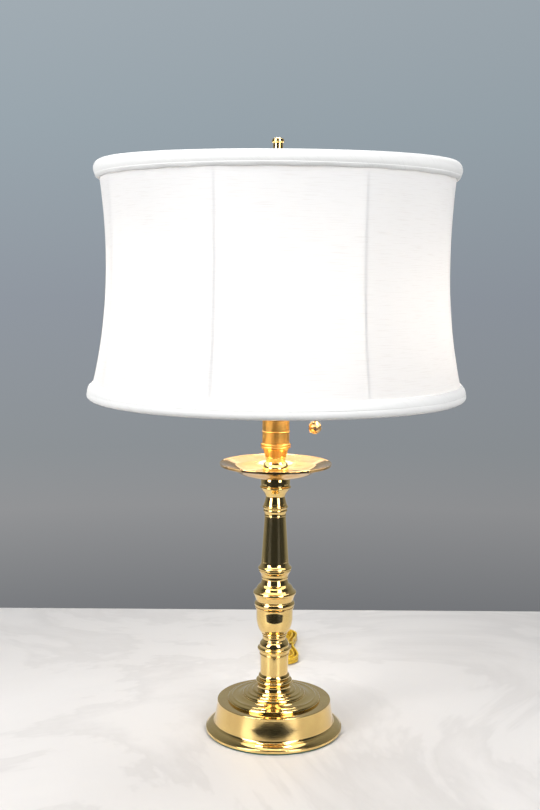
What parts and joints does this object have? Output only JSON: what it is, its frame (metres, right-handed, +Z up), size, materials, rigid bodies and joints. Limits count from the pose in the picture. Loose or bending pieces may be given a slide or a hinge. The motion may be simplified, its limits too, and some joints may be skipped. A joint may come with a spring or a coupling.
{
  "type": "table lamp",
  "caption": "Candlestick table lamp: turned brass stem and round base, drip pan, pull-chain bulb cluster, waisted drum shade of paneled cloth, finial and hanked cord.",
  "frame": {"origin": "middle of the felt's underside, on the lamp's axis, where it stands on the table", "axes": "+Z up along the stem; the pull chains hang at -X and +X; the front faces -Y; the cord leaves the base towards +Y"},
  "size_m": [0.4288, 0.5688, 0.6867],
  "materials": {
    "polished_brass": "polished and lacquered",
    "socket_brass": "pressed and bright dipped",
    "chain_brass": "bright",
    "felt": "pressed wool felt",
    "cast_iron": "as cast",
    "zinc_steel": "zinc plated",
    "phenolic": "moulded",
    "liner_paper": "pressed fibre",
    "shade_wire": "white enamel",
    "shade_cloth": "fine woven, taut",
    "shade_trim": "bias-cut band",
    "bulb_cap": "rolled thread",
    "bulb_glass": "frosted",
    "bushing_plastic": "moulded",
    "cord_vinyl": "clear gold vinyl",
    "tie": "flat band",
    "plug_plastic": "moulded",
    "plug_blade": "stamped"
  },
  "bodies": {
    "stand": {"base_locknut": "zinc_steel", "base_shell": "polished_brass", "base_washer": "zinc_steel", "base_weight": "cast_iron", "bell_collar": "polished_brass", "candle_cup": "polished_brass", "centre_contacts": "socket_brass", "chain_guide_left": "socket_brass", "chain_guide_right": "socket_brass", "cluster_body": "polished_brass", "cluster_cap": "polished_brass", "cluster_hub": "polished_brass", "cluster_nipples": "zinc_steel", "cord_bushing": "bushing_plastic", "cord_hank": "cord_vinyl", "cord_lead": "cord_vinyl", "drip_pan": "polished_brass", "feed_cord": "cord_vinyl", "felt_pad": "felt", "hank_tie": "tie", "knop": "polished_brass", "lower_collar": "polished_brass", "lower_sleeve": "polished_brass", "pan_neck": "polished_brass", "plug_blades": "plug_blade", "plug_body": "plug_plastic", "riser_nut": "polished_brass", "riser_tip": "polished_brass", "riser_tube": "polished_brass", "screw_shells": "socket_brass", "socket_cap_left": "socket_brass", "socket_cap_right": "socket_brass", "socket_core_left": "phenolic", "socket_core_right": "phenolic", "socket_liners": "liner_paper", "socket_shell_left": "socket_brass", "socket_shell_right": "socket_brass", "stem_foot": "polished_brass", "tapered_column": "polished_brass", "threaded_rod": "zinc_steel", "upper_collar": "polished_brass", "urn": "polished_brass", "urn_ring": "polished_brass"},
    "shade": {"shade_bottom_ring": "shade_wire", "shade_top_frame": "shade_wire", "shade_ribs": "shade_wire", "shade_panels": "shade_cloth", "shade_bottom_trim": "shade_trim", "shade_top_trim": "shade_trim"},
    "finial": {"finial": "polished_brass"},
    "chain_left": {"pull_chain_left": "chain_brass", "pull_ball_left": "chain_brass"},
    "cam_left": {"switch_cam_left": "phenolic"},
    "bulb_left": {"bulb_base_left": "bulb_cap", "bulb_glass_left": "bulb_glass"},
    "chain_right": {"pull_chain_right": "chain_brass", "pull_ball_right": "chain_brass"},
    "cam_right": {"switch_cam_right": "phenolic"},
    "bulb_right": {"bulb_base_right": "bulb_cap", "bulb_glass_right": "bulb_glass"}
  },
  "joints": [
    {"name": "shade_turn", "type": "hinge", "parent": "stand", "child": "shade", "pos_m": [0, 0, 0.65], "axis": [0, 0, 1], "continuous": true},
    {"name": "finial_turn", "type": "hinge", "parent": "stand", "child": "finial", "pos_m": [0, 0, 0.652], "axis": [0, 0, 1], "continuous": true},
    {"name": "chain_left_pull", "type": "slide", "parent": "stand", "child": "chain_left", "axis": [0, 0, -1], "range_m": [0, 0.008], "stiffness_N_per_m": 150, "springref_m": -0.02},
    {"name": "cam_left_turn", "type": "hinge", "parent": "stand", "child": "cam_left", "pos_m": [-0.03217, 0, 0.4195], "axis": [0, 1, 0], "range_deg": [0, 90]},
    {"name": "bulb_left_turn", "type": "hinge", "parent": "stand", "child": "bulb_left", "pos_m": [-0.05362, 0, 0.4375], "axis": [-0.766, 0, 0.6428], "continuous": true},
    {"name": "chain_right_pull", "type": "slide", "parent": "stand", "child": "chain_right", "axis": [0, 0, -1], "range_m": [0, 0.008], "stiffness_N_per_m": 150, "springref_m": -0.02},
    {"name": "cam_right_turn", "type": "hinge", "parent": "stand", "child": "cam_right", "pos_m": [0.03217, 0, 0.4195], "axis": [0, 1, 0], "range_deg": [0, 90]},
    {"name": "bulb_right_turn", "type": "hinge", "parent": "stand", "child": "bulb_right", "pos_m": [0.05362, 0, 0.4375], "axis": [0.766, 0, 0.6428], "continuous": true}
  ],
  "couplings": [
    {"joint": "cam_left_turn", "follows": "chain_left_pull", "rad_per_m": 190},
    {"joint": "cam_right_turn", "follows": "chain_right_pull", "rad_per_m": 190}
  ]
}
